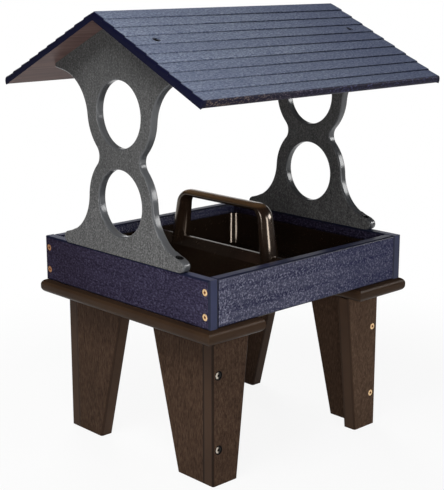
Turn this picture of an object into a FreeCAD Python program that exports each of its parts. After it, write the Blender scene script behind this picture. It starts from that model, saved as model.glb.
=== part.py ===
import FreeCAD, Part
import math
import os

# Fly-through bird feeder, millimetres, +Z up.
# The ridge runs along X. The origin is on the ground under the middle of the feeder.
# Front is -Y, left is -X.

V = FreeCAD.Vector
up = V(0, 0, 1)
down = V(0, 0, -1)
touch = 0.01  # points nearer than this count as one
os.makedirs("parts", exist_ok=True)

# Boards
wall_thickness = 16.0
base_thickness = 19.0
leg_thickness = 19.0
gable_thickness = 12.0
roof_thickness = 10.8

# Box
box_length = 364.0
box_width = 334.0
box_height = 62.0
wall_edge_radius = 3.0

# Base boards and legs
leg_height = 197.0
base_overhang = 6.0
base_width = 97.0
base_edge_radius = 8.0
leg_inset_x = 23.5
leg_inset_y = 18.5
leg_end_top_width = 118.5
leg_end_foot_width = 68.0
leg_side_top_width = 64.0
leg_side_foot_width = 42.5
leg_edge_radius = 3.0

# Gables
hole_radius = 43.0
ring_width = 21.5
lower_hole_height = 69.5
hole_spacing = 113.0
waist_radius = 16.0
sweep_radius = 60.0
foot_half_width = 122.5
foot_tip_radius = 7.5
foot_slope = 15.0
shoulder_half_width = 131.0
shoulder_tip_height = 4.5
shoulder_slope = 10.0
gable_height = 300.0

# Roof
roof_pitch = 25.3
roof_end_overhang = 36.0
roof_slope_length = 219.0
course_count = 10
course_step = 1.3
ridge_gap = 0.3
roof_end_radius = 4.5
eave_radius = 3.0

# Feed tray
tray_gap = 2.0
tray_rest_gap = 0.3
tray_height = 49.0
tray_wall = 2.6
tray_floor = 2.6
tray_draft = 3.0
tray_corner_radius = 13.0
tray_lip_width = 3.0
tray_lip_height = 4.0
divider_shoulder_width = 29.0
divider_crest_width = 7.0
divider_crest_rise = 11.5
divider_drop = 0.5
handle_depth = 22.0
handle_top = 117.0
grip_thickness = 10.0
handle_inner_top = 70.0
handle_inner_foot = 80.5
handle_outer_top = 87.0
handle_outer_foot = 100.5
handle_outer_radius = 24.0
handle_inner_radius = 11.0
handle_edge_bevel = 3.5
flare_share = 0.85
flare_inset = 0.3
hollow_corner_radius = 3.0

# Screws
screw_sides = 8
head_radius = 4.6
head_height = 3.0
head_rim = 0.6
shank_radius = 2.0
drive_width = 3.0
drive_depth = 2.0
screw_fit = 0.15
way_in_length = 4.0
head_sink = 0.4
leg_head_sink = 1.0
wall_screw_length = 46.0
wall_screw_spread = 31.0
gable_screw_length = 40.0
gable_screw_spread = 216.0
gable_screw_seat = 11.5
roof_screw_length = 34.0
roof_screw_spread = 140.0
roof_seat_radius = 5.5
leg_screw_length = 42.0
leg_screw_low = 48.0
leg_screw_high = 147.0
base_screw_length = 45.0
base_screw_end_offset = 56.0
base_screw_side_offset = 33.0
hold_screw_length = 38.0
hold_screw_end_spread = 240.0
hold_screw_clearance = 16.0

# Levels and planes that follow from the sizes
base_bottom = leg_height
box_bottom = base_bottom + base_thickness
box_top = box_bottom + box_height
half_length = box_length / 2
half_width = box_width / 2
leg_x = half_length - leg_inset_x
leg_y = half_width - leg_inset_y
gable_x = half_length - gable_thickness / 2
roof_length = box_length + 2 * roof_end_overhang
pitch = math.radians(roof_pitch)


def box(x0, x1, y0, y1, z0, z1):
    """Block between two corners, in any order."""
    low = V(min(x0, x1), min(y0, y1), min(z0, z1))
    return Part.makeBox(abs(x1 - x0), abs(y1 - y0), abs(z1 - z0), low)


def point_line(points):
    """Closed straight-sided wire."""
    return Part.makePolygon(points + [points[0]])


def mirror_x(shape):
    return shape.mirror(V(0, 0, 0), V(1, 0, 0))


def mirror_y(shape):
    return shape.mirror(V(0, 0, 0), V(0, 1, 0))


def edges_along(shape, axis):
    """Straight edges that run along one axis."""
    found = []
    for edge in shape.Edges:
        if edge.Curve.TypeId != "Part::GeomLine":
            continue
        direction = edge.tangentAt(edge.FirstParameter)
        if abs(direction.dot(axis)) > 0.999:
            found.append(edge)
    return found


def round_stack(sections):
    """Solid through a stack of round sections, each a radius and a height, drawn with few flat sides.

    The flat sides touch the round section from outside.
    """
    half_turn = math.pi / screw_sides
    rings = []
    for radius, height in sections:
        corner = radius / math.cos(half_turn)
        ring = []
        for number in range(screw_sides):
            angle = 2 * half_turn * number
            ring.append(V(corner * math.cos(angle), corner * math.sin(angle), height))
        rings.append(ring)
    faces = [Part.Face(point_line(rings[0])), Part.Face(point_line(rings[-1]))]
    for upper, lower in zip(rings, rings[1:]):
        for number in range(screw_sides):
            beside = (number + 1) % screw_sides
            corners = [upper[number], upper[beside], lower[beside], lower[number]]
            faces.append(Part.Face(point_line(corners)))
    return Part.makeSolid(Part.makeShell(faces))


def screw(length, driven):
    """Countersunk screw that points down from the origin. A driven one shows a square drive."""
    body = round_stack(
        [
            (head_radius, 0),
            (head_radius, -head_rim),
            (shank_radius, -head_height),
            (shank_radius, -length),
        ]
    )
    if driven:
        half = drive_width / 2
        body = body.cut(box(-half, half, -half, half, -drive_depth, drive_depth))
    return body


def screw_hole(length, sink, way_radius):
    """Space for a screw whose top is at the origin, with its way in above the head."""
    head = head_radius + screw_fit
    shank = shank_radius + screw_fit
    hole = round_stack(
        [
            (head, sink),
            (head, -head_rim),
            (shank, -head_height),
            (shank, -length - screw_fit),
        ]
    )
    way_in = round_stack([(way_radius, 0), (way_radius, sink + way_in_length)])
    return hole.fuse(way_in)


def aimed(shape, place, direction):
    """Move a piece made pointing down so that it points along a direction from a place."""
    moved = shape.copy()
    turn = FreeCAD.Rotation(down, direction)
    moved.Placement = FreeCAD.Placement(place, turn)
    return moved


def screw_group(places, length, sink, way_radius, driven):
    """Screws with their tops sunk under the face, and the holes that take them."""
    screws = []
    holes = []
    for place, direction in places:
        top = place + direction * sink
        screws.append(aimed(screw(length, driven), top, direction))
        holes.append(aimed(screw_hole(length, sink, way_radius), top, direction))
    return screws, holes


def drilled(shape, *hole_lists):
    holes = [hole for hole_list in hole_lists for hole in hole_list]
    near = [hole for hole in holes if hole.BoundBox.intersect(shape.BoundBox)]
    if near:
        shape = shape.cut(Part.makeCompound(near))
    return shape


def save(shape, name):
    solids = shape.Solids
    piece = solids[0] if len(solids) == 1 else Part.makeCompound(solids)
    piece.exportStep("parts/" + name + ".step")


# Screw places

wall_screw_y = half_width - wall_thickness / 2
wall_screw_mid = box_bottom + box_height / 2
wall_places = []
gable_places = []
leg_places = []
base_places = []
hold_places = []
for side_x in (-1, 1):
    for side_y in (-1, 1):
        for level in (-1, 1):
            height = wall_screw_mid + level * wall_screw_spread / 2
            wall_places.append((V(side_x * half_length, side_y * wall_screw_y, height), V(-side_x, 0, 0)))
        seat = box_top + gable_screw_seat
        gable_places.append((V(side_x * gable_x, side_y * gable_screw_spread / 2, seat), down))
        for height in (leg_screw_low, leg_screw_high):
            start = V(side_x * (leg_x - leg_thickness / 2), side_y * leg_y, height)
            leg_places.append((start, V(0, -side_y, 0)))
        end_y = leg_y - base_screw_end_offset
        side_screw_x = leg_x - base_screw_side_offset
        base_places.append((V(side_x * (leg_x - leg_thickness / 2), side_y * end_y, box_bottom), down))
        base_places.append((V(side_x * side_screw_x, side_y * (leg_y - leg_thickness / 2), box_bottom), down))
        wall_x = half_length - wall_thickness / 2
        hold_places.append((V(side_x * wall_x, side_y * hold_screw_end_spread / 2, base_bottom), up))
        past_wall_screw = half_length - wall_screw_length - hold_screw_clearance
        hold_places.append((V(side_x * past_wall_screw, side_y * wall_screw_y, base_bottom), up))

head_way = head_radius + screw_fit
wall_screws, wall_holes = screw_group(wall_places, wall_screw_length, head_sink, head_way, True)
gable_screws, gable_holes = screw_group(gable_places, gable_screw_length, 0, head_way, True)
leg_screws, leg_holes = screw_group(leg_places, leg_screw_length, leg_head_sink, head_way, True)
base_screws, base_holes = screw_group(base_places, base_screw_length, head_sink, head_way, False)
hold_screws, hold_holes = screw_group(hold_places, hold_screw_length, head_sink, head_way, False)

# The way in for a gable screw has to clear the sloping foot above it
gable_ways = []
for place, direction in gable_places:
    way = round_stack([(head_way, 0), (head_way, 2 * gable_screw_seat)])
    way.translate(place)
    gable_ways.append(way)

# Roof screws stand square to the slope, so they are made in the front panel's own frame
roof_top = box_top + gable_height + roof_thickness / math.cos(pitch)
roof_screw_y = roof_screw_spread / 2
roof_places = []
for side_x in (-1, 1):
    for side_y in (-1, 1):
        square_in = V(0, -side_y * math.sin(pitch), -math.cos(pitch))
        height = roof_top - roof_screw_y * math.tan(pitch)
        roof_places.append((V(side_x * gable_x, side_y * roof_screw_y, height), square_in))
roof_sink = course_step + head_sink
roof_screws, roof_holes = screw_group(roof_places, roof_screw_length, roof_sink, roof_seat_radius, True)


# Box walls

end_wall = box(-half_length, wall_thickness - half_length, -half_width, half_width, box_bottom, box_top)
end_wall_edges = edges_along(end_wall, V(0, 1, 0)) + edges_along(end_wall, up)
end_wall = end_wall.makeFillet(wall_edge_radius, end_wall_edges)
side_x_end = half_length - wall_thickness
side_wall = box(-side_x_end, side_x_end, -half_width, wall_thickness - half_width, box_bottom, box_top)
side_wall = side_wall.makeFillet(wall_edge_radius, edges_along(side_wall, V(1, 0, 0)))

save(drilled(end_wall, wall_holes, gable_holes, hold_holes), "end_wall_left")
save(drilled(mirror_x(end_wall), wall_holes, gable_holes, hold_holes), "end_wall_right")
save(drilled(side_wall, wall_holes, hold_holes), "side_wall_front")
save(drilled(mirror_y(side_wall), wall_holes, hold_holes), "side_wall_rear")

# Base boards

base_x = half_length + base_overhang
base_y = half_width + base_overhang
base_board = box(-base_x, base_width - base_x, -base_y, base_y, base_bottom, box_bottom)
flat_edges = edges_along(base_board, V(1, 0, 0)) + edges_along(base_board, V(0, 1, 0))
base_board = base_board.makeFillet(base_edge_radius, flat_edges)

save(drilled(base_board, base_holes, hold_holes), "base_board_left")
save(drilled(mirror_x(base_board), base_holes, hold_holes), "base_board_right")

# Legs: an angle of two tapered boards, made at the front left corner

side_outline = [
    V(-leg_x, -leg_y, 0),
    V(leg_side_foot_width - leg_x, -leg_y, 0),
    V(leg_side_top_width - leg_x, -leg_y, leg_height),
    V(-leg_x, -leg_y, leg_height),
]
leg_side = Part.Face(point_line(side_outline)).extrude(V(0, leg_thickness, 0))
end_start = leg_thickness - leg_y
end_outline = [
    V(-leg_x, end_start, 0),
    V(-leg_x, leg_end_foot_width - leg_y, 0),
    V(-leg_x, leg_end_top_width - leg_y, leg_height),
    V(-leg_x, end_start, leg_height),
]
leg_end = Part.Face(point_line(end_outline)).extrude(V(leg_thickness, 0, 0))


def eased_leg(board, seam_y):
    """Round the upright edges of a leg board, except those in the seam between the two boards."""
    chosen = []
    for edge in board.Edges:
        middle = edge.CenterOfMass
        upright = edge.BoundBox.ZLength > leg_height / 2
        if upright and abs(middle.y - seam_y) > touch:
            chosen.append(edge)
    return board.makeFillet(leg_edge_radius, chosen)


leg_side = eased_leg(leg_side, end_start)
leg_end = eased_leg(leg_end, end_start)

for board, kind in ((leg_side, "leg_side"), (leg_end, "leg_end")):
    corners = (
        ("front_left", board),
        ("front_right", mirror_x(board)),
        ("rear_left", mirror_y(board)),
        ("rear_right", mirror_x(mirror_y(board))),
    )
    for corner, shape in corners:
        save(drilled(shape, leg_holes, base_holes), kind + "_" + corner)


# Gables: half the outline is worked out from circles and lines that meet smoothly

def arc_between(start, end, centre, radius, towards):
    """Arc of a circle from start to end by the side that faces a direction."""
    middle = (start + end) / 2 - centre
    if middle.Length < touch or middle.dot(towards) < 0:
        middle = towards
    through = centre + middle.normalize() * radius
    return Part.Arc(start, through, end).toShape()


def sweep_centre(ring_centre, ring_radius, radius, normal, offset):
    """Centre of a circle that touches a ring from outside and a line from above.

    The line is where normal . point = offset.
    """
    foot = normal * (offset + radius)
    along = V(0, -normal.z, normal.y)
    gap = foot - ring_centre
    half_b = gap.dot(along)
    c = gap.dot(gap) - (ring_radius + radius) ** 2
    root = math.sqrt(half_b ** 2 - c)
    choices = [foot + along * (root - half_b), foot + along * (-root - half_b)]
    return max(choices, key=lambda centre: centre.y)


ring_radius = hole_radius + ring_width
lower_centre = V(0, 0, lower_hole_height)
upper_centre = V(0, 0, lower_hole_height + hole_spacing)
outward = V(0, 1, 0)

# Foot: a round tip, then a gentle slope that sweeps up into the lower ring
tip_centre = V(0, foot_half_width - foot_tip_radius, foot_tip_radius)
foot_angle = math.radians(foot_slope)
foot_normal = V(0, math.sin(foot_angle), math.cos(foot_angle))
foot_offset = foot_normal.dot(tip_centre) + foot_tip_radius
foot_start = V(0, tip_centre.y, 0)
foot_top = tip_centre + foot_normal * foot_tip_radius
foot_sweep = sweep_centre(lower_centre, ring_radius, sweep_radius, foot_normal, foot_offset)
foot_line_end = foot_sweep - foot_normal * sweep_radius
lower_in = lower_centre + (foot_sweep - lower_centre).normalize() * ring_radius

# Waist between the rings
waist_z = lower_hole_height + hole_spacing / 2
waist_reach = math.sqrt((ring_radius + waist_radius) ** 2 - (hole_spacing / 2) ** 2)
waist_centre = V(0, waist_reach, waist_z)
lower_out = lower_centre + (waist_centre - lower_centre).normalize() * ring_radius
upper_in = upper_centre + (waist_centre - upper_centre).normalize() * ring_radius

# Shoulder: sweeps out of the upper ring to a blunt tip under the roof
shoulder_roof = gable_height - shoulder_half_width * math.tan(pitch)
shoulder_tip = V(0, shoulder_half_width, shoulder_roof - shoulder_tip_height)
shoulder_angle = math.radians(shoulder_slope)
shoulder_normal = V(0, math.sin(shoulder_angle), -math.cos(shoulder_angle))
shoulder_offset = shoulder_normal.dot(shoulder_tip)
shoulder_sweep = sweep_centre(upper_centre, ring_radius, sweep_radius, shoulder_normal, shoulder_offset)
upper_out = upper_centre + (shoulder_sweep - upper_centre).normalize() * ring_radius
shoulder_line_start = shoulder_sweep - shoulder_normal * sweep_radius

half_edges = [
    Part.makeLine(V(0, 0, 0), foot_start),
    Part.Arc(foot_start, tip_centre + outward * foot_tip_radius, foot_top).toShape(),
    Part.makeLine(foot_top, foot_line_end),
    arc_between(foot_line_end, lower_in, foot_sweep, sweep_radius, -outward),
    arc_between(lower_in, lower_out, lower_centre, ring_radius, outward),
    arc_between(lower_out, upper_in, waist_centre, waist_radius, -outward),
    arc_between(upper_in, upper_out, upper_centre, ring_radius, outward),
    arc_between(upper_out, shoulder_line_start, shoulder_sweep, sweep_radius, -outward),
    Part.makeLine(shoulder_line_start, shoulder_tip),
    Part.makeLine(shoulder_tip, V(0, shoulder_half_width, shoulder_roof)),
    Part.makeLine(V(0, shoulder_half_width, shoulder_roof), V(0, 0, gable_height)),
    Part.makeLine(V(0, 0, gable_height), V(0, 0, 0)),
]
half_face = Part.Face(Part.Wire(half_edges))
half_gable = half_face.extrude(V(gable_thickness, 0, 0))
gable = half_gable.fuse(mirror_y(half_gable)).removeSplitter()
for centre in (lower_centre, upper_centre):
    gable = gable.cut(Part.makeCylinder(hole_radius, gable_thickness, centre, V(1, 0, 0)))
gable.translate(V(-half_length, 0, box_top))

save(drilled(gable, gable_holes, gable_ways, roof_holes), "gable_left")
save(drilled(mirror_x(gable), gable_holes, gable_ways, roof_holes), "gable_right")


# Roof: the front panel is drawn flat, with the ridge at the origin and the eave along -Y, then tipped

def flat_panel():
    """Lapped courses over a plain board with a rounded eave and rounded ends. Its top is at z = 0."""
    course = roof_slope_length / course_count
    ridge_back = roof_thickness * math.tan(pitch)
    half_roof = roof_length / 2
    outline = [V(-half_roof, -ridge_back, -roof_thickness), V(-half_roof, 0, -course_step)]
    for number in range(course_count):
        outline.append(V(-half_roof, -(number + 1) * course, 0))
        if number < course_count - 1:
            outline.append(V(-half_roof, -(number + 1) * course, -course_step))
    outline.append(V(-half_roof, -roof_slope_length, -roof_thickness))
    lapped = Part.Face(point_line(outline)).extrude(V(roof_length, 0, 0))
    eave = []
    for edge in edges_along(lapped, V(1, 0, 0)):
        if edge.CenterOfMass.y < touch - roof_slope_length:
            eave.append(edge)
    lapped = lapped.makeFillet(eave_radius, eave)
    envelope = box(-half_roof, half_roof, -roof_slope_length, roof_thickness, -roof_thickness, 0)
    ends = [edge for edge in edges_along(envelope, V(0, 1, 0)) if edge.CenterOfMass.z > -touch]
    return lapped.common(envelope.makeFillet(roof_end_radius, ends))


roof_panel = flat_panel()
roof_panel.rotate(V(0, 0, 0), V(1, 0, 0), roof_pitch)
roof_panel.translate(V(0, 0, roof_top))
front_side = box(-roof_length, roof_length, -2 * half_width, -ridge_gap / 2, 0, 2 * roof_top)
roof_panel = roof_panel.common(front_side)

save(drilled(roof_panel, roof_holes), "roof_panel_front")
save(drilled(mirror_y(roof_panel), roof_holes), "roof_panel_rear")


# Feed tray

def rounded_rectangle(half_x, half_y, z, radius):
    """Wire of a rectangle with round corners, centred on the origin."""
    corners = [V(-half_x, -half_y, z), V(half_x, -half_y, z), V(half_x, half_y, z), V(-half_x, half_y, z)]
    block = Part.Face(point_line(corners)).extrude(up)
    block = block.makeFillet(radius, edges_along(block, up))
    for wire in block.Wires:
        bounds = wire.BoundBox
        if bounds.ZLength < touch and abs(bounds.ZMin - z) < touch:
            return wire


def tapered(low, high):
    return Part.makeLoft([low, high], True, True)


tray_x = half_length - wall_thickness - tray_gap
tray_y = half_width - wall_thickness - tray_gap
tray_bottom = box_bottom + tray_rest_gap
rim_z = tray_bottom + tray_height
lean = math.tan(math.radians(tray_draft))
body_x = tray_x - tray_lip_width
body_y = tray_y - tray_lip_width
foot_x = body_x - tray_height * lean
foot_y = body_y - tray_height * lean

tub = tapered(
    rounded_rectangle(foot_x, foot_y, tray_bottom, tray_corner_radius),
    rounded_rectangle(body_x, body_y, rim_z, tray_corner_radius),
)
lip_radius = tray_corner_radius + tray_lip_width
lip_wire = rounded_rectangle(tray_x, tray_y, rim_z - tray_lip_height, lip_radius)
lip = Part.Face(lip_wire).extrude(V(0, 0, tray_lip_height))
tray = tub.fuse(lip)

floor_z = tray_bottom + tray_floor
cavity_x = body_x - tray_wall
cavity_y = body_y - tray_wall
cavity_lean = (rim_z - floor_z) * lean
inner_radius = tray_corner_radius - tray_wall
cavity = tapered(
    rounded_rectangle(cavity_x - cavity_lean, cavity_y - cavity_lean, floor_z, inner_radius),
    rounded_rectangle(cavity_x, cavity_y, rim_z, inner_radius),
)
tray = tray.cut(cavity)

# The divider is a bar with sloping shoulders and a narrow flat crest across the tray, hollow from below
crest_z = rim_z - divider_drop
shoulder_z = crest_z - divider_crest_rise
crest_half = divider_crest_width / 2
shoulder_half = divider_shoulder_width / 2
divider_half = shoulder_half + (shoulder_z - tray_bottom) * lean
divider_right = [
    V(divider_half, -body_y, tray_bottom),
    V(shoulder_half, -body_y, shoulder_z),
    V(crest_half, -body_y, crest_z),
]
divider_left = [V(-point.x, point.y, point.z) for point in reversed(divider_right)]
divider = Part.Face(point_line(divider_right + divider_left)).extrude(V(0, 2 * body_y, 0))
tray = tray.fuse(divider.common(tub))

hollow_half_top = shoulder_half - tray_wall
hollow_half_foot = divider_half - tray_wall
hollow_y = foot_y - 2 * tray_wall
hollow_top = shoulder_z - tray_wall / 2
hollow = tapered(
    rounded_rectangle(hollow_half_foot, hollow_y, tray_bottom, hollow_corner_radius),
    rounded_rectangle(hollow_half_top, hollow_y, hollow_top, hollow_corner_radius),
)
tray = tray.cut(hollow)

# The carry handle is an arch that stands on the divider. A flare deepens each leg towards its foot
handle_low = shoulder_z
handle_high = tray_bottom + handle_top
grip_low = handle_high - grip_thickness


def arch(foot_half, top_half, top_z, corner_radius):
    """Flat-footed arch across the tray, with its two upper corners rounded."""
    points = [
        V(0, -foot_half, handle_low),
        V(0, foot_half, handle_low),
        V(0, top_half, top_z),
        V(0, -top_half, top_z),
    ]
    block = Part.Face(point_line(points)).extrude(V(handle_depth, 0, 0))
    block.translate(V(-handle_depth / 2, 0, 0))
    upper = [edge for edge in edges_along(block, V(1, 0, 0)) if edge.CenterOfMass.z > top_z - touch]
    return block.makeFillet(corner_radius, upper)


handle = arch(handle_outer_foot, handle_outer_top, handle_high, handle_outer_radius)
handle = handle.cut(arch(handle_inner_foot, handle_inner_top, grip_low, handle_inner_radius))
face_edges = []
for edge in handle.Edges:
    on_face = edge.BoundBox.XLength < touch
    if on_face and edge.CenterOfMass.z > handle_low + touch:
        face_edges.append(edge)
handle = handle.makeChamfer(handle_edge_bevel, face_edges)


def leg_section(share, half_depth):
    """Bevelled wire inside a leg of the handle, at a share of the way from its foot to its top."""
    inner = handle_inner_foot + share * (handle_inner_top - handle_inner_foot) + flare_inset
    outer = handle_outer_foot + share * (handle_outer_top - handle_outer_foot) - flare_inset
    height = handle_low + share * (grip_low - handle_low)
    narrow = half_depth - handle_edge_bevel
    right_half = [
        V(narrow, inner, height),
        V(half_depth, inner + handle_edge_bevel, height),
        V(half_depth, outer - handle_edge_bevel, height),
        V(narrow, outer, height),
    ]
    left_half = [V(-point.x, point.y, point.z) for point in reversed(right_half)]
    return point_line(right_half + left_half)


flare = tapered(
    leg_section(0, shoulder_half),
    leg_section(flare_share, handle_depth / 2 - flare_inset),
)
tray = tray.fuse([handle, flare, mirror_y(flare)])

save(tray, "feed_tray")

# Screws, one node for each kind

for name, group in (
    ("wall_screws", wall_screws),
    ("gable_screws", gable_screws),
    ("roof_screws", roof_screws),
    ("leg_screws", leg_screws),
    ("base_screws", base_screws),
    ("hold_down_screws", hold_screws),
):
    save(Part.makeCompound(group), name)
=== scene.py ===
# %% [markdown]
# # A fly-through bird feeder
# The feeder is built of plastic lumber: a shallow box on four angle legs, two figure-eight gables, a lapped
# roof and a moulded tray that lifts out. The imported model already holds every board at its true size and
# place. This lesson loads it, gives every board its finish, and makes finer pieces where a finish alone is
# not enough.

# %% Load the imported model
import bmesh
import bpy
import math
from mathutils import Matrix, Vector


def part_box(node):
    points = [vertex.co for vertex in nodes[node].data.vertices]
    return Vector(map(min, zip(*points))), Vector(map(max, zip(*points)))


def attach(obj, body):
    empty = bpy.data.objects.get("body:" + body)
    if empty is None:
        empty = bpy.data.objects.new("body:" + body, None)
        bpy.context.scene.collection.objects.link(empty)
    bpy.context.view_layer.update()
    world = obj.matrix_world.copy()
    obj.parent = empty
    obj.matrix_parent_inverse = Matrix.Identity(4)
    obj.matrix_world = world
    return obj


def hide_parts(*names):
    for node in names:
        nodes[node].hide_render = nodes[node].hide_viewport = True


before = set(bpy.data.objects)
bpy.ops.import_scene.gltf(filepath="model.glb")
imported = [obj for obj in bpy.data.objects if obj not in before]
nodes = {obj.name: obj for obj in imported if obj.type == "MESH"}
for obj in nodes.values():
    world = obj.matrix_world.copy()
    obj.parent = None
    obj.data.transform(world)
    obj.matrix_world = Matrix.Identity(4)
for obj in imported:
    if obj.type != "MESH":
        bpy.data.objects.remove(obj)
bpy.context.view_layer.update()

scene = bpy.context.scene
MM = 0.001
print("boards and screws in the frame:", len(nodes))

# %% [markdown]
# ## The camera
# The picture was taken from the front left corner, a little above the box. Three measured corners of the
# box and the two ends of the roof fix the angle, the distance and the lens, so every piece falls where the
# picture has it. The plain Standard view shows a colour as it is written.

# %% Place the camera
scene.view_settings.view_transform = "Standard"

camera_azimuth = math.radians(-43.40)
camera_elevation = math.radians(13.43)
camera_distance = 1.6353
camera_shift_left = 2 * MM
aim = Vector((0, 0, 263.6 * MM))

right = Vector((math.cos(camera_azimuth), math.sin(camera_azimuth), 0))
level_back = Vector((math.sin(camera_azimuth), -math.cos(camera_azimuth), 0))
back = level_back * math.cos(camera_elevation) + Vector((0, 0, math.sin(camera_elevation)))
up = back.cross(right)

camera = bpy.data.objects.new("Camera", bpy.data.cameras.new("Camera"))
camera.data.sensor_width = 36.0
camera.data.lens = 86.37
turn = Matrix((right, up, back)).transposed().to_4x4()
place = aim - right * camera_shift_left + back * camera_distance
camera.matrix_world = Matrix.Translation(place) @ turn
scene.collection.objects.link(camera)
scene.camera = camera
print("camera stands at", [round(value, 3) for value in place])

# %% [markdown]
# ## Small helpers for node trees
# Finishes and repeated pieces are both node trees. One helper adds a node and feeds its inputs, with
# numbers or with other sockets. The next ones do sums, so that a rule reads like a line of arithmetic.

# %% Node helpers
def feed(tree, socket, value):
    """Give an input a number, a colour or the output of another node."""
    if isinstance(value, bpy.types.NodeSocket):
        tree.links.new(value, socket)
    else:
        socket.default_value = value


def add(tree, kind, inputs=None, **options):
    """Add a node, set its options and feed its inputs by name or number."""
    node = tree.nodes.new(kind)
    for option, value in options.items():
        setattr(node, option, value)
    for key, value in (inputs or {}).items():
        feed(tree, node.inputs[key], value)
    return node


def sum_of(tree, operation, *terms):
    """One step of arithmetic on numbers."""
    return add(tree, "ShaderNodeMath", dict(enumerate(terms)), operation=operation).outputs[0]


def vector_sum(tree, operation, *terms):
    """One step of arithmetic on vectors."""
    return add(tree, "ShaderNodeVectorMath", dict(enumerate(terms)), operation=operation).outputs[0]


def dot(tree, first, second):
    node = add(tree, "ShaderNodeVectorMath", {0: first, 1: second}, operation="DOT_PRODUCT")
    return node.outputs["Value"]


def ramp(tree, value, start, end, low=0.0, high=1.0):
    """A soft step from low to high while a value goes from start to end."""
    inputs = {"Value": value, "From Min": start, "From Max": end, "To Min": low, "To Max": high}
    return add(tree, "ShaderNodeMapRange", inputs, interpolation_type="SMOOTHSTEP").outputs[0]


def choose(tree, share, when_off, when_on):
    """One number or another, or a mix of both."""
    return add(tree, "ShaderNodeMix", {0: share, 2: when_off, 3: when_on}, data_type="FLOAT").outputs[0]


def blend_colours(tree, share, first, second):
    node = add(tree, "ShaderNodeMix", {0: share, 6: first, 7: second}, data_type="RGBA")
    return node.outputs[2]


def noise(tree, vector, scale, detail=2.0, roughness=0.6):
    inputs = {"Vector": vector, "Scale": scale, "Detail": detail, "Roughness": roughness}
    return add(tree, "ShaderNodeTexNoise", inputs).outputs[0]


print("node helpers ready")

# %% [markdown]
# An effect that several finishes share is a node group, and so is a tree that makes a piece. Both have
# named inputs and outputs, so one helper starts either kind. A second helper places an effect in a finish.

# %% Group helpers
NUMBER = "NodeSocketFloat"
VECTOR = "NodeSocketVector"


def new_group(name, kind, inputs, outputs):
    """An empty node group with named inputs and outputs."""
    tree = bpy.data.node_groups.new(name, kind)
    for label, socket_kind, value in inputs:
        socket = tree.interface.new_socket(label, in_out="INPUT", socket_type=socket_kind)
        if value is not None:
            socket.default_value = value
    for label, socket_kind in outputs:
        tree.interface.new_socket(label, in_out="OUTPUT", socket_type=socket_kind)
    given = tree.nodes.new("NodeGroupInput").outputs
    result = tree.nodes.new("NodeGroupOutput").inputs
    return tree, given, result


def placed(tree, group, **values):
    """Put a shared effect into a finish. An underscore in a name stands for a space."""
    node = add(tree, "ShaderNodeGroup", node_tree=group)
    for key, value in values.items():
        feed(tree, node.inputs[key.replace("_", " ")], value)
    return node.outputs


print("group helpers ready")

# %% [markdown]
# ## Floor and studio light
# The feeder stands on matt white paper. Seen by the camera, or mirrored in a piece, the paper fades to pure
# white a little way from the feeder, so it has no horizon, and near the legs it keeps a soft shadow.

# %% Floor
floor_reach = 4.0
shadow_start = 0.35
shadow_end = 0.85
shadow_share = 0.10

floor_mesh = bpy.data.meshes.new("floor")
corners = [(-floor_reach, -floor_reach, 0), (floor_reach, -floor_reach, 0)]
corners += [(floor_reach, floor_reach, 0), (-floor_reach, floor_reach, 0)]
floor_mesh.from_pydata(corners, [], [(0, 1, 2, 3)])
floor = bpy.data.objects.new("floor", floor_mesh)
scene.collection.objects.link(floor)

floor_paint = bpy.data.materials.new("floor_paint")
floor_paint.use_nodes = True
tree = floor_paint.node_tree
tree.nodes.clear()
matt = add(tree, "ShaderNodeBsdfDiffuse", {"Color": (0.86, 0.86, 0.86, 1)})
white = add(tree, "ShaderNodeEmission", {"Color": (1, 1, 1, 1), "Strength": 1.0})
spot = add(tree, "ShaderNodeTexCoord").outputs["Object"]
distance = add(tree, "ShaderNodeVectorMath", {0: spot}, operation="LENGTH").outputs["Value"]
whiteness = ramp(tree, distance, shadow_start, shadow_end, 1 - shadow_share, 1.0)
path = tree.nodes.new("ShaderNodeLightPath").outputs
seen = sum_of(tree, "MAXIMUM", path["Is Camera Ray"], path["Is Transmission Ray"])
seen = sum_of(tree, "MAXIMUM", seen, path["Is Glossy Ray"])
share = sum_of(tree, "MULTIPLY", whiteness, seen)
mixed = add(tree, "ShaderNodeMixShader", {0: share, 1: matt.outputs[0], 2: white.outputs[0]})
add(tree, "ShaderNodeOutputMaterial", {"Surface": mixed.outputs[0]})
floor_mesh.materials.append(floor_paint)
print("floor is", 2 * floor_reach, "m wide")

# %% [markdown]
# Small glossy roundings show what they mirror. Low behind the feeder that is the white backdrop, but above
# and on the side of the near corner it is the unlit part of the studio, which is why the rounded corners
# look dark there. So mirrored rays see a world that is white low behind and dark elsewhere. A large lamp
# above the left end lights the roof, which grows darker to the right, lower ones stand at the near corner
# and in front, and one at the back lights the paper. Three cards left, in front and right are only
# mirrored: they draw the bright lines on the handle and the glints on the cut edges.

# %% World and lamps
ambient = 0.05
dark_end = 0.03

world = bpy.data.worlds.new("studio")
world.use_nodes = True
scene.world = world
tree = world.node_tree
tree.nodes.clear()
path = tree.nodes.new("ShaderNodeLightPath").outputs
direction = add(tree, "ShaderNodeTexCoord").outputs["Generated"]
behind = ramp(tree, dot(tree, direction, level_back), -0.85, -0.45, 1.0, 0.0)
low_down = ramp(tree, dot(tree, direction, (0, 0, 1)), 0.15, 0.35, 1.0, 0.0)
mirrored = choose(tree, sum_of(tree, "MULTIPLY", behind, low_down), dark_end, 1.0)
strength = choose(tree, path["Is Glossy Ray"], ambient, mirrored)
shown = sum_of(tree, "MAXIMUM", path["Is Camera Ray"], path["Is Transmission Ray"])
strength = choose(tree, shown, strength, 1.0)
sky = add(tree, "ShaderNodeBackground", {"Color": (1, 1, 1, 1), "Strength": strength})
add(tree, "ShaderNodeOutputWorld", {"Surface": sky.outputs[0]})


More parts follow.
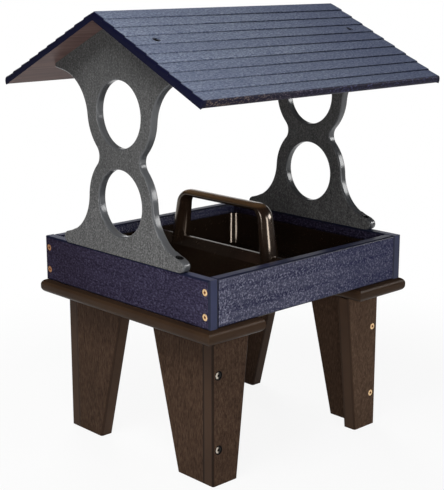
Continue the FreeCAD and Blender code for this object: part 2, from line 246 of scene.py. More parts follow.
def soft_lamp(name, place, target, width, height, power, mirrored):
    """A soft box that either lights the boards or is only mirrored by them."""
    lamp = bpy.data.lights.new(name, "AREA")
    lamp.shape = "RECTANGLE"
    lamp.size = width
    lamp.size_y = height
    lamp.energy = power
    piece = bpy.data.objects.new(name, lamp)
    piece.location = place
    piece.rotation_euler = (Vector(target) - Vector(place)).to_track_quat("-Z", "Y").to_euler()
    piece.visible_glossy = mirrored
    piece.visible_diffuse = not mirrored
    piece.visible_camera = False
    scene.collection.objects.link(piece)


over_the_box = (0, 0, 0.35)
soft_lamp("top_lamp", (-0.80, -0.30, 1.40), over_the_box, 0.6, 0.6, 11.5, mirrored=False)
soft_lamp("near_lamp", (-0.62, -0.68, 0.45), over_the_box, 0.4, 0.4, 2.4, mirrored=False)
soft_lamp("front_lamp", (0.30, -1.50, 0.70), over_the_box, 0.3, 0.5, 2.8, mirrored=False)
soft_lamp("back_lamp", (0.7, 1.3, 1.2), over_the_box, 0.9, 0.9, 16.0, mirrored=False)
soft_lamp("left_card", (-1.50, 0.02, 0.50), (0, 0, 0.3), 0.4, 0.9, 9.0, mirrored=True)
soft_lamp("front_card", (0.12, -1.55, 0.50), (0, 0, 0.3), 0.45, 0.9, 12.0, mirrored=True)
soft_lamp("right_card", (1.05, -1.05, 0.77), (0, 0, 0.4), 0.8, 0.45, 12.0, mirrored=True)

# %% [markdown]
# ## Shared effects of plastic lumber
# Plastic lumber is pressed from coloured flakes. Its faces carry fine light and dark flecks and faint
# streaks along the board, its machined edges are smooth, darker and a little shiny, and it fades unevenly
# outdoors. Each effect is a node group that is built once. A finish then places it with its own sizes.

# %% Board grain
grain, given, result = new_group(
    "Board grain",
    "ShaderNodeTree",
    [("Vector", VECTOR, None), ("Fleck size", NUMBER, 2 * MM), ("Stretch", NUMBER, 2.0)],
    [("Light fleck", NUMBER), ("Dark fleck", NUMBER), ("Streak", NUMBER), ("Height", NUMBER)],
)
per_metre = sum_of(grain, "DIVIDE", 1.0, given["Fleck size"])
along = sum_of(grain, "DIVIDE", 1.0, given["Stretch"])
squeeze = add(grain, "ShaderNodeCombineXYZ", {0: along, 1: 1.0, 2: 1.0}).outputs[0]
flecks = noise(grain, vector_sum(grain, "MULTIPLY", given["Vector"], squeeze), per_metre, 2.0, 0.7)
long_way = vector_sum(grain, "MULTIPLY", given["Vector"], (0.03, 1.0, 1.0))
streak = noise(grain, long_way, sum_of(grain, "MULTIPLY", per_metre, 0.55), 3.0)
feed(grain, result["Light fleck"], ramp(grain, flecks, 0.50, 0.68))
feed(grain, result["Dark fleck"], ramp(grain, flecks, 0.50, 0.32))
feed(grain, result["Streak"], ramp(grain, streak, 0.35, 0.65))
feed(grain, result["Height"], sum_of(grain, "MULTIPLY_ADD", streak, 0.4, flecks))
print("group:", grain.name)

# %% Machined edge
machined, given, result = new_group(
    "Machined edge",
    "ShaderNodeTree",
    [(name, VECTOR, None) for name in ("Vector", "Low corner", "High corner", "Broad")],
    [("Edge", NUMBER), ("Arris", NUMBER)],
)
from_low = vector_sum(machined, "SUBTRACT", given["Vector"], given["Low corner"])
from_high = vector_sum(machined, "SUBTRACT", given["High corner"], given["Vector"])
depths = [dot(machined, offset, given["Broad"]) for offset in (from_low, from_high)]
below_face = sum_of(machined, "MINIMUM", *depths)
feed(machined, result["Edge"], ramp(machined, below_face, 0.05 * MM, 0.5 * MM))
past_arris = ramp(machined, below_face, 2.2 * MM, 3.2 * MM, 1.0, 0.0)
off_face = ramp(machined, below_face, 0.0, 0.3 * MM)
feed(machined, result["Arris"], sum_of(machined, "MULTIPLY", off_face, past_arris))
print("group:", machined.name)

# %% Weathering
weather, given, result = new_group(
    "Weathering",
    "ShaderNodeTree",
    [("Vector", VECTOR, None), ("Patch size", NUMBER, 0.09)],
    [("Fade", NUMBER), ("Scuff", NUMBER)],
)
per_metre = sum_of(weather, "DIVIDE", 1.0, given["Patch size"])
feed(weather, result["Fade"], ramp(weather, noise(weather, given["Vector"], per_metre, 4.0), 0.3, 0.7))
slant = {"Vector": given["Vector"], "Rotation": (0.5, 0.8, 0.3)}
slanted = add(weather, "ShaderNodeMapping", slant).outputs[0]
thin = vector_sum(weather, "MULTIPLY", slanted, (0.05, 1.0, 1.0))
scratch = noise(weather, thin, sum_of(weather, "MULTIPLY", per_metre, 60.0), 1.0)
feed(weather, result["Scuff"], ramp(weather, scratch, 0.70, 0.78))
print("group:", weather.name)

# %% [markdown]
# ## The lumber finish
# One function makes the finish of every board. The flecks run along the board, so each finish says which
# way its board runs. Whatever lies below the two broad faces of a board is a machined edge: it loses the
# flecks, takes a colour of its own and a thin clear shine, and where it rounds into the broad face it can
# get a painted dark reflection, a dark line for the unlit studio that the rounding mirrors. A board can also
# get a painted shade that grows along it. The finish needs the two corners of its board to know where the
# broad faces are, so each board gets a material of its own.

# %% Colours and an empty finish
def paint(red, green, blue):
    """A colour written in the usual 0 to 255 steps, as the linear values that shaders use."""
    linear = []
    for value in (red, green, blue):
        share = value / 255
        linear.append(share / 12.92 if share <= 0.04045 else ((share + 0.055) / 1.055) ** 2.4)
    return (*linear, 1.0)


coat_roughness = 0.2


def new_finish(name, specular):
    """An empty finish and its shader. What is set here is the same all over the surface."""
    material = bpy.data.materials.new(name)
    material.use_nodes = True
    shader = material.node_tree.nodes["Principled BSDF"]
    shader.inputs["Specular IOR Level"].default_value = specular
    shader.inputs["Coat Roughness"].default_value = coat_roughness
    return material, material.node_tree, shader.inputs


print("a middle grey in linear values:", [round(value, 3) for value in paint(128, 128, 128)])

# %% Lumber finish
ALONG_X = (0, 0, 0)
ALONG_Y = (0, 0, math.radians(90))
ALONG_Z = (0, math.radians(90), 0)
FACES_X = (1, 0, 0)
FACES_Y = (0, 1, 0)
FACES_Z = (0, 0, 1)


def lumber_finish(board, colours, runs, broad, fleck, stretch, rough, relief, shine, arris_shade=0.0, shade_drift=None):
    """Flecked, streaked and slightly faded plastic lumber for one board.

    Colours are face, light, dark and edge. A shade drift is a painted shade along the board: where it starts,
    where it ends, and the colour it goes to. The arris shade is how dark the painted dark reflection is where
    an edge rounds into a broad face."""
    face, light, dark, edge = colours
    low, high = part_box(board)
    material, tree, shader = new_finish(board + "_finish", specular=0.04)
    spot = add(tree, "ShaderNodeTexCoord").outputs["Object"]
    turned = add(tree, "ShaderNodeMapping", {"Vector": spot, "Rotation": runs}).outputs[0]
    flecks = placed(tree, grain, Vector=turned, Fleck_size=fleck, Stretch=stretch)
    cut = placed(tree, machined, Vector=spot, Low_corner=low, High_corner=high, Broad=broad)
    edges = cut["Edge"]
    worn = placed(tree, weather, Vector=turned)

    colour = blend_colours(tree, flecks["Light fleck"], face, light)
    colour = blend_colours(tree, flecks["Dark fleck"], colour, dark)
    colour = blend_colours(tree, sum_of(tree, "MULTIPLY", flecks["Streak"], 0.2), colour, light)
    colour = blend_colours(tree, sum_of(tree, "MULTIPLY", worn["Fade"], 0.25), colour, dark)
    # The shade drift paints a shade that grows along the board.
    if shade_drift:
        start, end, far_colour = shade_drift
        changed = ramp(tree, dot(tree, turned, (1, 0, 0)), start, end, 0.0, 0.4)
        colour = blend_colours(tree, changed, colour, far_colour)
    edge_tone = blend_colours(tree, sum_of(tree, "MULTIPLY", worn["Fade"], 0.35), edge, dark)
    colour = blend_colours(tree, edges, colour, edge_tone)
    # A painted dark reflection along the arris, where an edge rounds into a broad face and mirrors the dark
    # studio.
    arris_shade_share = sum_of(tree, "MULTIPLY", cut["Arris"], arris_shade)
    feed(tree, shader["Base Color"], blend_colours(tree, arris_shade_share, colour, paint(8, 7, 10)))

    gloss = sum_of(tree, "MULTIPLY_ADD", flecks["Streak"], 0.08, rough)
    gloss = sum_of(tree, "MULTIPLY_ADD", worn["Scuff"], -0.1, gloss)
    feed(tree, shader["Roughness"], sum_of(tree, "MULTIPLY_ADD", edges, -0.2, gloss))
    feed(tree, shader["Coat Weight"], sum_of(tree, "MULTIPLY", edges, shine))
    flat_share = sum_of(tree, "SUBTRACT", 1.0, edges)
    height = sum_of(tree, "MULTIPLY", flecks["Height"], flat_share)
    bump = add(tree, "ShaderNodeBump", {"Strength": relief, "Distance": 0.6 * MM, "Height": height})
    feed(tree, shader["Normal"], bump.outputs[0])
    return material


print("lumber finish ready")

# %% [markdown]
# The bores that the screws sit in get a painted shade, so they are darker than the board round them. A
# cylinder round each axis marks them, which needs no change to the mesh. A board whose imported shape is
# right keeps its mesh, and only its material slot is given its finish.

# %% Bores and boards
def paint_bore_shade(material, across, bores, radius):
    """Paint shade on a board round the axes of its screws, where its bores lie in shade. Across is 1 for the
    two directions square to the axes.
    """
    tree = material.node_tree
    socket = tree.nodes["Principled BSDF"].inputs["Base Color"]
    colour = socket.links[0].from_socket
    spot = add(tree, "ShaderNodeTexCoord").outputs["Object"]
    flat_spot = vector_sum(tree, "MULTIPLY", vector_sum(tree, "ABSOLUTE", spot), across)
    # Each bore gets a near black painted shade.
    for bore in bores:
        away = add(tree, "ShaderNodeVectorMath", {0: flat_spot, 1: bore}, operation="DISTANCE")
        inside = ramp(tree, away.outputs["Value"], radius, 0.9 * radius)
        colour = blend_colours(tree, inside, colour, paint(10, 10, 11))
    feed(tree, socket, colour)


def dress(node_name, material):
    mesh = nodes[node_name].data
    mesh.materials.clear()
    mesh.materials.append(material)


print("helpers for bores and boards ready")

# %% [markdown]
# ## Walls, base boards and legs
# The box is deep blue. Its long walls carry a strong pale speckle and a painted shade that deepens to the
# right, and its end walls are darker and smoother, with a dark purple painted shade towards the rear. The
# base and legs are dark brown with a fine grain, and the broad boards of the right legs get a paler copy of
# the brown, painted light. The near leg has a stronger painted dark reflection along its edges, and painted
# shade round its screws. The long walls run along X, the end walls and base boards along Y, the legs along Z.

# %% Dress the boards
speckled_blue = (paint(67, 68, 91), paint(150, 150, 168), paint(30, 31, 59), paint(42, 46, 74))
plain_blue = (paint(49, 44, 67), paint(86, 82, 106), paint(23, 18, 34), paint(52, 58, 90))
brown = (paint(74, 55, 43), paint(96, 75, 60), paint(50, 36, 27), paint(75, 56, 43))
lit_brown = (paint(92, 70, 55), paint(114, 92, 75), paint(66, 49, 38), paint(80, 60, 46))
dark_brown = (paint(66, 49, 38), paint(86, 66, 52), paint(42, 30, 22), paint(66, 49, 36))
# Painted shades: the long walls deepen to the right, and the end walls darken and turn purple towards the
# rear.
shade_to_the_right = (-150 * MM, 180 * MM, paint(32, 37, 82))
shade_to_the_rear = (120 * MM, -160 * MM, paint(27, 9, 25))
leg_line_x = 149 * MM
leg_screw_levels = (48 * MM, 147 * MM)
leg_bores = [(leg_line_x, 0, level) for level in leg_screw_levels]
leg_recess_radius = 6.5 * MM

for side in ("front", "rear"):
    wall = "side_wall_" + side
    finish = lumber_finish(
        wall, speckled_blue, ALONG_X, FACES_Y, fleck=2.6 * MM, stretch=1.0,
        rough=0.6, relief=0.5, shine=0.35, arris_shade=0.5, shade_drift=shade_to_the_right,
    )
    dress(wall, finish)
for end in ("left", "right"):
    wall = "end_wall_" + end
    finish = lumber_finish(
        wall, plain_blue, ALONG_Y, FACES_X, fleck=2.4 * MM, stretch=1.5,
        rough=0.55, relief=0.3, shine=0.3, arris_shade=0.6, shade_drift=shade_to_the_rear,
    )
    dress(wall, finish)
    board = "base_board_" + end
    finish = lumber_finish(
        board, dark_brown, ALONG_Y, FACES_Z, fleck=1.4 * MM, stretch=8.0,
        rough=0.5, relief=0.25, shine=0.02, arris_shade=0.4,
    )
    dress(board, finish)
    for side in ("front", "rear"):
        corner = side + "_" + end
        board = "leg_side_" + corner
        # The right legs take a paler, lit copy of the brown: painted light.
        tone = lit_brown if end == "right" else brown
        # The near leg gets a stronger painted dark reflection along its arrises.
        arris_shade = 0.65 if corner == "front_left" else 0.35
        finish = lumber_finish(
            board, tone, ALONG_Z, FACES_Y, fleck=1.8 * MM, stretch=2.5,
            rough=0.55, relief=0.25, shine=0.05, arris_shade=arris_shade,
        )
        if corner == "front_left":
            paint_bore_shade(finish, (1, 0, 1), leg_bores, leg_recess_radius)
        dress(board, finish)
        board = "leg_end_" + corner
        finish = lumber_finish(
            board, brown, ALONG_Z, FACES_X, fleck=1.5 * MM, stretch=5.0,
            rough=0.55, relief=0.15, shine=0.05, arris_shade=0.35,
        )
        dress(board, finish)
print("board finishes:", len([m for m in bpy.data.materials if m.name.endswith("_finish")]))

# %% [markdown]
# ## The gables
# The grey gables are cut from a thinner board, and every cut edge is routed to a small round that catches
# the light. A rounding modifier would also round the screw holes, so the edges are picked by rule: those on
# a broad face, but not where the board stands on the box, touches the roof or takes a screw. The imported
# mesh is loose triangles, so a copy is merged first. Weighted normals then keep the broad faces flat beside
# the roundings. The grey gets a painted shade towards the roof, and the bores of the screws in the toes get
# a dark painted shade.

# %% Merge and shade helpers
tiny = 0.05 * MM


def plain_mesh(piece):
    """Work the modifiers of a piece into its mesh, and remove them."""
    graph = bpy.context.evaluated_depsgraph_get()
    evaluated = piece.evaluated_get(graph)
    mesh = bpy.data.meshes.new_from_object(evaluated, preserve_all_data_layers=True, depsgraph=graph)
    piece.modifiers.clear()
    piece.data = mesh
    mesh.name = piece.name
    return piece


def merged_copy(node_name):
    """The mesh of a node with its triangles joined up and its flat faces whole, open for work."""
    source = nodes[node_name].data
    loose = bpy.data.meshes.new(node_name + "_copy")
    faces = [tuple(face.vertices) for face in source.polygons]
    loose.from_pydata([point.co for point in source.vertices], [], faces)
    work = bmesh.new()
    work.from_mesh(loose)
    bpy.data.meshes.remove(loose)
    bmesh.ops.remove_doubles(work, verts=work.verts, dist=0.1 * tiny)
    bmesh.ops.dissolve_limit(work, angle_limit=math.radians(0.5), verts=work.verts, edges=work.edges)
    return work


def new_piece(name, work):
    """A piece from a mesh that was open for work."""
    mesh = bpy.data.meshes.new(name)
    work.to_mesh(mesh)
    work.free()
    piece = bpy.data.objects.new(name, mesh)
    scene.collection.objects.link(piece)
    return piece


def evenly_shaded(piece, sharp_angle):
    """Shade a piece smooth, with sharp edges kept and broad faces flat."""
    piece.data.shade_smooth()
    piece.data.set_sharp_from_angle(angle=sharp_angle)
    even = piece.modifiers.new("even", "WEIGHTED_NORMAL")
    even.keep_sharp = True
    even.weight = 100
    return plain_mesh(piece)


def take_over(piece, body, node_name, material):
    """Let a new piece stand for a node, with its finish."""
    piece.data.materials.clear()
    piece.data.materials.append(material)
    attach(piece, body)
    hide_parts(node_name)
    print(piece.name, "has", len(piece.data.polygons), "faces")


print("merge and shade helpers ready")

# %% Routed gables
roof_pitch = math.radians(25.3)
gable_peak = (278 + 300) * MM
gable_x = 176 * MM
gable_screw_y = 108 * MM
screw_room = 8 * MM
rout_radius = 2.6 * MM
bore_radius = 5.5 * MM
grey = (paint(103, 103, 103), paint(148, 148, 148), paint(71, 71, 71), paint(88, 90, 93))
# A painted shade towards the roof, under its overhang.
shade_to_the_roof = (300 * MM, 390 * MM, paint(68, 68, 68))


def routed(edge, low, high):
    """Whether an edge of a gable is one that the router rounds."""
    start, end = (point.co for point in edge.verts)
    if len(edge.link_faces) != 2 or edge.calc_face_angle() < math.radians(45):
        return False
    on_face = any(abs(start.x - face) < tiny and abs(end.x - face) < tiny for face in (low.x, high.x))
    under_roof = True
    for point in (start, end):
        gap = gable_peak - abs(point.y) * math.tan(roof_pitch) - point.z
        under_roof = under_roof and gap < 10 * tiny
        beside_screw = abs(abs(point.y) - gable_screw_y) < screw_room and point.z < low.z + 3 * screw_room
        if beside_screw:
            return False
    standing = max(start.z, end.z) < low.z + tiny
    return on_face and not under_roof and not standing


for end in ("left", "right"):
    node_name = "gable_" + end
    low, high = (Vector(corner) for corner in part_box(node_name))
    work = merged_copy(node_name)
    chosen = [edge for edge in work.edges if routed(edge, low, high)]
    bmesh.ops.bevel(
        work, geom=chosen, offset=rout_radius, offset_type="OFFSET", segments=4, profile=0.5, affect="EDGES"
    )
    gable = evenly_shaded(new_piece("routed_gable_" + end, work), math.radians(40))
    finish = lumber_finish(
        node_name, grey, ALONG_Z, FACES_X, fleck=1.9 * MM, stretch=1.2,
        rough=0.6, relief=0.25, shine=0.9, shade_drift=shade_to_the_roof,
    )
    paint_bore_shade(finish, (1, 1, 0), [(gable_x, gable_screw_y, 0)], bore_radius)
    take_over(gable, "stand", node_name, finish)

# %% [markdown]
# ## The moulded tray
# The tray is one dark brown moulding with a shine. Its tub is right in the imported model, but the carry
# handle there has flat bevels, and the real one is oval all over. So the handle is made again as rings of
# an oval section that follow the arch: along the grip, round the corner and down a leg that widens towards
# its foot. The crest of the divider is made again too, with its two edges rounded. The old handle and crest
# are cut away and the new ones joined on.

# %% Lines of the carry handle
tray_low, tray_high = (Vector(corner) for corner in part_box("feed_tray"))
shoulder_z = tray_low.z + 37 * MM
crest_z = tray_low.z + 48.5 * MM
handle_top_z = tray_high.z
grip_thickness = 10 * MM
grip_half_depth = 11 * MM
foot_half_depth = 14.5 * MM
flare_height = 70 * MM
squareness = 0.94
grip_steps = 8
corner_steps = 10
leg_steps = 14
section_steps = 36


def arch_side(foot_half, top_half, top_z, radius):
    """One side of an arch, from the middle of the grip round the corner and down to the foot."""
    lean = math.atan2(foot_half - top_half, top_z - shoulder_z)
    centre_y = top_half - radius * (1 - math.sin(lean)) / math.cos(lean)
    points = [Vector((0, centre_y * step / grip_steps, top_z)) for step in range(grip_steps)]
    for step in range(corner_steps + 1):
        angle = math.pi / 2 + (lean - math.pi / 2) * step / corner_steps
        out = radius * math.cos(angle)
        raised = radius * math.sin(angle)
        points.append(Vector((0, centre_y + out, top_z - radius + raised)))
    corner_end = points[-1]
    foot = Vector((0, foot_half, shoulder_z))
    for step in range(1, leg_steps + 1):
        points.append(corner_end.lerp(foot, step / leg_steps))
    return points


def oval(angle):
    """A point on a slightly squared oval, as shares of its two half widths."""
    shares = (math.cos(angle), math.sin(angle))
    return [math.copysign(abs(share) ** squareness, share) for share in shares]


grip_bottom_z = handle_top_z - grip_thickness
outer = arch_side(foot_half=100.5 * MM, top_half=87 * MM, top_z=handle_top_z, radius=24 * MM)
inner = arch_side(foot_half=80.5 * MM, top_half=70 * MM, top_z=grip_bottom_z, radius=11 * MM)
mirror = Matrix.Scale(-1, 3, (0, 1, 0))
outer = [mirror @ point for point in reversed(outer[1:])] + outer
inner = [mirror @ point for point in reversed(inner[1:])] + inner
print("points on each line of the arch:", len(outer))

# %% Rings of the carry handle
work = bmesh.new()
rings = []
for far, near in zip(outer, inner):
    middle = (far + near) / 2
    half_step = (far - near) / 2
    rise = min((middle.z - shoulder_z) / flare_height, 1.0)
    half_depth = foot_half_depth + (grip_half_depth - foot_half_depth) * rise
    ring = []
    for step in range(section_steps):
        across, outward = oval(2 * math.pi * step / section_steps)
        ring.append(work.verts.new(middle + half_step * outward + Vector((half_depth * across, 0, 0))))
    rings.append(ring)
for ring, beside in zip(rings, rings[1:]):
    for number in range(len(ring)):
        after = (number + 1) % len(ring)
        work.faces.new((ring[number], ring[after], beside[after], beside[number]))
work.faces.new(rings[0])
work.faces.new(rings[-1])
bmesh.ops.recalc_face_normals(work, faces=work.faces)
handle = new_piece("handle_only", work)
print("handle has", len(rings), "rings")

# %% Crest of the divider
crest_half = 3.5 * MM
crest_rounding = 1.6 * MM
bar_half_length = 144.2 * MM
overlap = 0.6 * MM

section = [(foot_half_depth, shoulder_z - overlap), (foot_half_depth, shoulder_z), (crest_half, crest_z)]
section += [(-x, z) for x, z in reversed(section)]
work = bmesh.new()
near_end = [work.verts.new((x, -bar_half_length, z)) for x, z in section]
far_end = [work.verts.new((x, bar_half_length, z)) for x, z in section]
work.faces.new(near_end)
work.faces.new(far_end)
for number in range(len(section)):
    after = (number + 1) % len(section)
    work.faces.new((near_end[number], near_end[after], far_end[after], far_end[number]))
bmesh.ops.recalc_face_normals(work, faces=work.faces)
crest_edges = []
for edge in work.edges:
    start, end = (point.co for point in edge.verts)
    if start.y != end.y and start.z > crest_z - tiny:
        crest_edges.append(edge)
bmesh.ops.bevel(work, geom=crest_edges, offset=crest_rounding, segments=4, profile=0.5, affect="EDGES")
crest = new_piece("crest_only", work)
print("crest has", len(crest.data.polygons), "faces")

# %% Join the handle and the crest to the tub
work = bmesh.new()
bmesh.ops.create_cube(work, size=1.0)
wall_room = 142.6 * MM
room = Vector((2 * foot_half_depth + 2 * MM, 2 * wall_room, tray_high.z - shoulder_z + 2 * MM))
centre = Vector((0, 0, shoulder_z + room.z / 2))
bmesh.ops.transform(work, matrix=Matrix.LocRotScale(centre, None, room), verts=work.verts)
old_space = new_piece("old_space", work)

tray = new_piece("moulded_tray", merged_copy("feed_tray"))
for operation, tool in (("DIFFERENCE", old_space), ("UNION", crest), ("UNION", handle)):
    join = tray.modifiers.new(tool.name, "BOOLEAN")
    join.operation = operation
    join.solver = "EXACT"
    join.object = tool
plain_mesh(tray)
for tool in (old_space, crest, handle):
    bpy.data.objects.remove(tool)
evenly_shaded(tray, math.radians(35))
print("tray joined:", len(tray.data.polygons), "faces")

# %% [markdown]
# The upright corners of the real tub catch the light as two bright lines, which suggests that its sides
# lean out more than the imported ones. The shape stays, and only the shading of those corners leans back a
# little further.

# %% Lean the shading of the tub's corners
corner_start = Vector((144 * MM, 129 * MM))
corner_lean = math.tan(math.radians(11))
faces_inward = 0.72

mesh = tray.data
normals = [Vector(corner.vector) for corner in mesh.corner_normals]
leaning = 0
for face in mesh.polygons:
    x, y, z = face.center
    in_corner = abs(x) > corner_start.x and abs(y) > corner_start.y
    inward = Vector((math.copysign(1, -x), math.copysign(1, -y), 0)).normalized()
    if in_corner and face.normal.dot(inward) > faces_inward:
        leaning += 1
        for number in face.loop_indices:
            normals[number] = (normals[number] + Vector((0, 0, corner_lean))).normalized()
mesh.normals_split_custom_set(normals)
print("faces that lean back:", leaning)

# %% [markdown]
# The tray's finish is nearly black, with a strong moulded shine, a very fine texture and light scuffs where
# seed rubs it. The handle, standing in the light above the tray's shade, is painted a paler brown as painted
# light, and the top of its grip gets a painted dull gold highlight.

# %% Tray finish
def tray_finish():
    material, tree, shader = new_finish("tray_moulding", specular=1.0)
    shader["Specular Tint"].default_value = (1.0, 0.84, 0.70, 1.0)
    spot = add(tree, "ShaderNodeTexCoord").outputs["Object"]
    worn = placed(tree, weather, Vector=spot, Patch_size=0.05)
    texture = noise(tree, spot, 1 / (0.8 * MM), 2.0)
    colour = blend_colours(tree, worn["Fade"], paint(44, 33, 25), paint(36, 26, 19))
    colour = blend_colours(tree, sum_of(tree, "MULTIPLY", worn["Scuff"], 0.3), colour, paint(62, 46, 34))
    height = dot(tree, spot, (0, 0, 1))
    # Painted light: the handle above the crest is a paler, lit brown.
    lit_handle_share = ramp(tree, height, crest_z, crest_z + 20 * MM, 0.0, 0.8)
    colour = blend_colours(tree, lit_handle_share, colour, paint(48, 34, 25))
    # A painted dull gold highlight on the top of the grip.
    grip_highlight_share = ramp(tree, height, handle_top_z - 6 * MM, handle_top_z - 1 * MM, 0.0, 0.85)
    colour = blend_colours(tree, grip_highlight_share, colour, paint(140, 108, 74))
    feed(tree, shader["Base Color"], colour)
    gloss = sum_of(tree, "MULTIPLY_ADD", worn["Fade"], 0.06, 0.14)
    feed(tree, shader["Roughness"], sum_of(tree, "MULTIPLY_ADD", worn["Scuff"], 0.15, gloss))
    bump = add(tree, "ShaderNodeBump", {"Strength": 0.05, "Distance": 0.2 * MM, "Height": texture})
    feed(tree, shader["Normal"], bump.outputs[0])
    return material


take_over(tray, "tray", "feed_tray", tray_finish())

# %% [markdown]
# ## Growing pieces with Geometry Nodes
# The roof courses and the screws repeat, so each is a geometry tree with named sizes. A tree runs on a new
# object, its result is kept as a plain mesh, and the modifier goes away, so the piece is an ordinary mesh
# afterwards.

# %% Growing helpers
GEOMETRY = "NodeSocketGeometry"
COUNT = "NodeSocketInt"
FINISH = "NodeSocketMaterial"


def grow(name, tree, values, start=None):
    """Run a geometry tree and keep its result as a plain mesh."""
    piece = bpy.data.objects.new(name, start or bpy.data.meshes.new(name))
    scene.collection.objects.link(piece)
    modifier = piece.modifiers.new("grow", "NODES")
    modifier.node_group = tree
    for socket in tree.interface.items_tree:
        if socket.in_out == "INPUT" and socket.name in values:
            modifier[socket.identifier] = values[socket.name]
    plain_mesh(piece)
    print(name, "has", len(piece.data.polygons), "faces")
    return piece


def row_value(tree, row, values):
    """The number that belongs to a row, from a short list."""
    whole = add(tree, "FunctionNodeFloatToInt", {0: row}, rounding_mode="ROUND").outputs[0]
    node = add(tree, "GeometryNodeIndexSwitch", data_type="FLOAT")
    while len(node.index_switch_items) < len(values):
        node.index_switch_items.new()
    feed(tree, node.inputs[0], whole)
    for number, value in enumerate(values):
        feed(tree, node.inputs[number + 1], value)
    return node.outputs[0]


def unit_grid(tree, columns, rows):
    """A grid with one unit between its lines, and the column and row of each point, counted from 0."""
    inputs = {"Size X": columns - 1, "Size Y": rows - 1, "Vertices X": columns, "Vertices Y": rows}
    sheet = add(tree, "GeometryNodeMeshGrid", inputs).outputs[0]
    spot = add(tree, "GeometryNodeInputPosition").outputs[0]
    parts = add(tree, "ShaderNodeSeparateXYZ", {0: spot}).outputs
    column = sum_of(tree, "ROUND", sum_of(tree, "ADD", parts[0], (columns - 1) / 2))
    row = sum_of(tree, "ROUND", sum_of(tree, "ADD", parts[1], (rows - 1) / 2))
    return sheet, column, row


print("growing helpers ready")

# %% [markdown]
# Inside a tree, a grid is moved point by point, numbers are kept on its points, its open sides are joined,
# and its edges are made smooth or crisp. Each of these takes one or two nodes, so each has a helper.

# %% Helpers inside a tree
def moved(tree, sheet, x, y, z):
    spot = add(tree, "ShaderNodeCombineXYZ", {0: x, 1: y, 2: z}).outputs[0]
    return add(tree, "GeometryNodeSetPosition", {"Geometry": sheet, "Position": spot}).outputs[0]


def noted(tree, sheet, name, value):
    """Keep a number on every point, for the finish to read."""
    inputs = {"Geometry": sheet, "Name": name, "Value": value}
    return add(tree, "GeometryNodeStoreNamedAttribute", inputs, data_type="FLOAT", domain="POINT").outputs[0]


def merged(tree, sheet):
    """Join points that lie on each other, where two sheets or the ends of one meet."""
    inputs = {"Geometry": sheet, "Distance": 0.004 * MM}
    return add(tree, "GeometryNodeMergeByDistance", inputs).outputs[0]


def end_tree(tree, result, geometry, finish):
    """End a tree with plain geometry that carries its finish."""
    plain = add(tree, "GeometryNodeRealizeInstances", {"Geometry": geometry}).outputs[0]
    dressed = add(tree, "GeometryNodeSetMaterial", {"Geometry": plain, "Material": finish}).outputs[0]
    feed(tree, result[0], dressed)


def smooth_but_sharp(tree, sheet, angle):
    """Smooth shading, with edges sharper than an angle left crisp."""
    smooth = add(tree, "GeometryNodeSetShadeSmooth", {"Geometry": sheet, "Shade Smooth": True}, domain="FACE")
    bend = add(tree, "GeometryNodeInputMeshEdgeAngle").outputs[0]
    crisp = add(tree, "FunctionNodeCompare", {0: bend, 1: angle}, operation="GREATER_THAN", data_type="FLOAT")
    inputs = {"Geometry": smooth.outputs[0], "Selection": crisp.outputs[0], "Shade Smooth": False}
    return add(tree, "GeometryNodeSetShadeSmooth", inputs, domain="EDGE").outputs[0]


print("tree helpers ready")

# %% [markdown]
# ## The lapped roof
# Each slope is one board with ten courses milled into it. A course rises slowly to a rounded lip, and the
# lip hangs a little over a narrow groove, so a dark line runs along every course. The tree starts from a
# flat grid and moves each row by rule: its course, its place in the course, and at the ends a quarter
# round. A second grid is the flat underside. Both close at their rims, and two screw seats are cut out at
# the end.

# %% Roof tree
roof_length = 436 * MM
slope_length = 219 * MM
roof_thickness = 10.8 * MM
course_count = 10
course_step = 1.3 * MM
ridge_height = gable_peak + roof_thickness / math.cos(roof_pitch)
roof_screw_y = 70 * MM

rows_in_course = 8
nose_rows = 9
end_columns = 7
columns = 101
roof_rows = 1 + rows_in_course * course_count + nose_rows

roof_tree, given, result = new_group(
    "Lapped roof",
    "GeometryNodeTree",
    [
        ("Length", NUMBER, roof_length),
        ("Slope", NUMBER, slope_length),
        ("Thickness", NUMBER, roof_thickness),
        ("Step", NUMBER, course_step),
        ("Groove", NUMBER, 0.5 * MM),
        ("Undercut", NUMBER, 0.9 * MM),
        ("Wander", NUMBER, 0.5 * MM),
        ("End rounding", NUMBER, 4.5 * MM),
        ("Nose", NUMBER, 3 * MM),
        ("Pitch", NUMBER, roof_pitch),
        ("Ridge gap", NUMBER, 0.15 * MM),
        ("Ridge height", NUMBER, ridge_height),
        ("Turn", NUMBER, 0.0),
        ("Seed", NUMBER, 1.0),
        ("Screw spread", NUMBER, gable_x),
        ("Screw slope", NUMBER, roof_screw_y),
        ("Screw seat radius", NUMBER, 5.5 * MM),
        ("Finish", FINISH, None),
    ],
    [("Geometry", GEOMETRY)],
)
t = roof_tree
flat_grid, column, row = unit_grid(t, columns, roof_rows)
print("roof grid:", columns, "columns and", roof_rows, "rows")

# %% [markdown]
# Along the ridge the columns are even, with a quarter round at each end. The last column drops to the
# underside and closes the end face.

